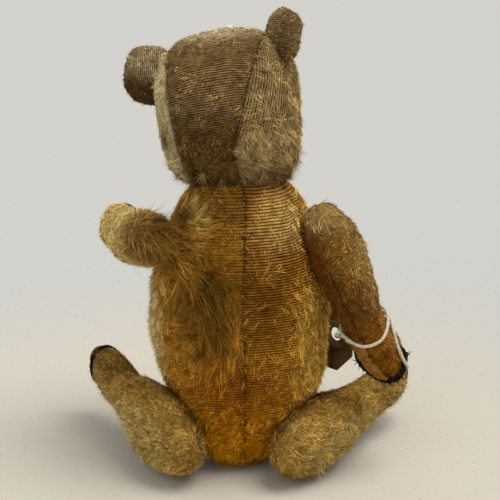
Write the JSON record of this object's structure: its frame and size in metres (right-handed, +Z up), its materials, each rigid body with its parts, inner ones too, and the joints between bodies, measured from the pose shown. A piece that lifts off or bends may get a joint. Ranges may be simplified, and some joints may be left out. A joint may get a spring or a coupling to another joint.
{
  "type": "teddy bear",
  "caption": "Small jointed mohair teddy bear, stuffed firm and worn almost bare, sitting with one arm raised and a blank card tag strung to the other wrist.",
  "frame": {"origin": "middle of the flat the body sits on", "axes": "+Z up, the bear faces -Y, +X is its left side"},
  "size_m": [0.1504, 0.0951, 0.206],
  "materials": {
    "gold_mohair": "matt, worn nap",
    "taupe_mohair": "matt, worn to the ribbed backing",
    "straw_mohair": "matt, short straw nap",
    "felt": "matt felt",
    "wood_wool": "loose wood shavings",
    "card": "pressed grey-brown card",
    "steel": "dull, lightly rusted",
    "boot_button": "gloss black",
    "black_thread": "matt thread",
    "tag_card": "matt, soiled card",
    "cotton_string": "matt twisted cotton"
  },
  "bodies": {
    "torso": {"neck_body_disc": "card", "neck_body_washer": "steel", "shoulder_left_body_disc": "card", "shoulder_left_body_washer": "steel", "hip_left_body_disc": "card", "hip_left_body_washer": "steel", "shoulder_right_body_disc": "card", "shoulder_right_body_washer": "steel", "hip_right_body_disc": "card", "hip_right_body_washer": "steel", "body_cover_left": "gold_mohair", "body_cover_right": "gold_mohair", "body_stuffing": "wood_wool"},
    "head": {"head_gusset": "taupe_mohair", "head_side_left": "taupe_mohair", "head_side_right": "taupe_mohair", "head_stuffing": "wood_wool", "ear_left": "taupe_mohair", "eye_left": "boot_button", "ear_right": "taupe_mohair", "eye_right": "boot_button", "nose_stitching": "black_thread", "mouth_stitching": "black_thread", "neck_limb_disc": "card", "neck_limb_washer": "steel", "neck_pin": "steel"},
    "arm_left": {"arm_left_paw_pad": "felt", "arm_left_outer": "straw_mohair", "arm_left_inner": "straw_mohair", "arm_left_stuffing": "wood_wool", "shoulder_left_limb_disc": "card", "shoulder_left_limb_washer": "steel", "shoulder_left_pin": "steel"},
    "arm_right": {"arm_right_paw_pad": "felt", "arm_right_outer": "straw_mohair", "arm_right_inner": "straw_mohair", "arm_right_stuffing": "wood_wool", "shoulder_right_limb_disc": "card", "shoulder_right_limb_washer": "steel", "swing_tag": "tag_card", "tag_patch": "tag_card", "string_knot": "cotton_string", "tag_string": "cotton_string", "shoulder_right_pin": "steel"},
    "leg_left": {"leg_left_sole_pad": "felt", "leg_left_outer": "straw_mohair", "leg_left_inner": "straw_mohair", "leg_left_stuffing": "wood_wool", "hip_left_limb_disc": "card", "hip_left_limb_washer": "steel", "hip_left_pin": "steel"},
    "leg_right": {"leg_right_sole_pad": "felt", "leg_right_outer": "straw_mohair", "leg_right_inner": "straw_mohair", "leg_right_stuffing": "wood_wool", "hip_right_limb_disc": "card", "hip_right_limb_washer": "steel", "hip_right_pin": "steel"}
  },
  "joints": [
    {"name": "neck_turn", "type": "hinge", "parent": "torso", "child": "head", "pos_m": [0.0005, 0.002, 0.1336], "axis": [0.0698, 0, 0.9976], "continuous": true},
    {"name": "shoulder_left_swing", "type": "hinge", "parent": "torso", "child": "arm_left", "pos_m": [0.0304, 0.013, 0.106], "axis": [-0.9118, -0.2273, -0.342], "range_deg": [-200, 48]},
    {"name": "shoulder_right_swing", "type": "hinge", "parent": "torso", "child": "arm_right", "pos_m": [-0.0304, 0.013, 0.106], "axis": [-0.8517, 0.3971, 0.342], "range_deg": [-2, 84]},
    {"name": "hip_left_swing", "type": "hinge", "parent": "torso", "child": "leg_left", "pos_m": [0.0232, 0.0105, 0.0235], "axis": [-0.864, -0.4214, 0.2756], "continuous": true},
    {"name": "hip_right_swing", "type": "hinge", "parent": "torso", "child": "leg_right", "pos_m": [-0.0232, 0.0105, 0.0235], "axis": [-0.7405, 0.4809, -0.4695], "range_deg": [-110, 30]}
  ]
}
